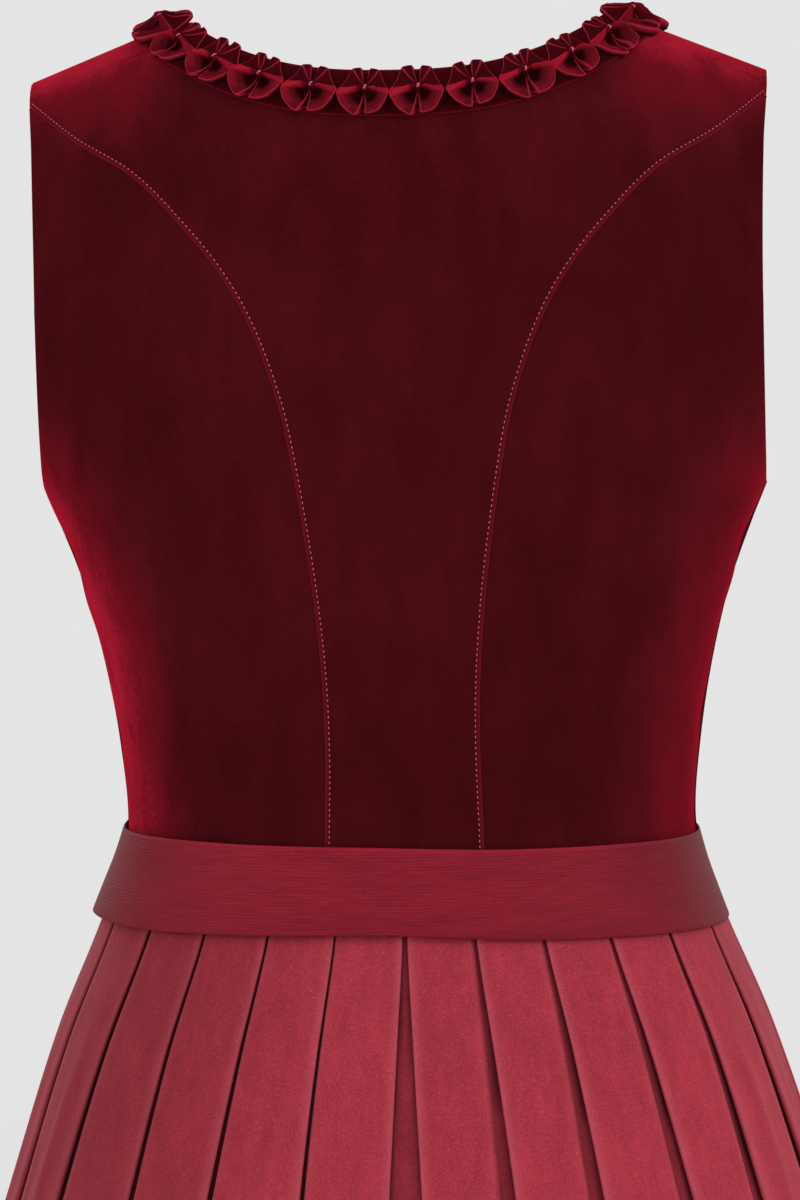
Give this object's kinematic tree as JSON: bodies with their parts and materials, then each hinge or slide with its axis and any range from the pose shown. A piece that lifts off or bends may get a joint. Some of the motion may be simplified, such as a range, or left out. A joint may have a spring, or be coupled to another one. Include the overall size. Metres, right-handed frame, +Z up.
{
  "type": "dirndl dress",
  "caption": "Sleeveless dirndl with a princess-seamed velvet bodice, ruched neck trim, waist ribbon and knife-pleated skirt.",
  "frame": {"origin": "midway between the shoulders, at the height where the straps rest on the wearer", "axes": "+Z up the wearer, +X to the wearer's left, -Y to the front"},
  "size_m": [0.66, 0.5773, 1.1299],
  "materials": {
    "bodice_velvet": "wine-red cotton velvet, dark where faced, red sheen at grazing angles",
    "trim_velvet": "the bodice's velvet cut as a ribbon, pinched and stitched, its fold edges lighter",
    "ribbon_faille": "cross-ribbed wine-red faille ribbon, softly lustrous",
    "skirt_twill": "rosewood-red fine twill, matt with a soft sheen on the pleats"
  },
  "bodies": {
    "root": {"centre_back": "bodice_velvet", "side_back_left": "bodice_velvet", "side_back_right": "bodice_velvet", "centre_front_left": "bodice_velvet", "centre_front_right": "bodice_velvet", "side_front_left": "bodice_velvet", "side_front_right": "bodice_velvet", "neck_trim": "trim_velvet", "waist_ribbon": "ribbon_faille", "skirt_back": "skirt_twill", "skirt_front": "skirt_twill"}
  },
  "joints": []
}
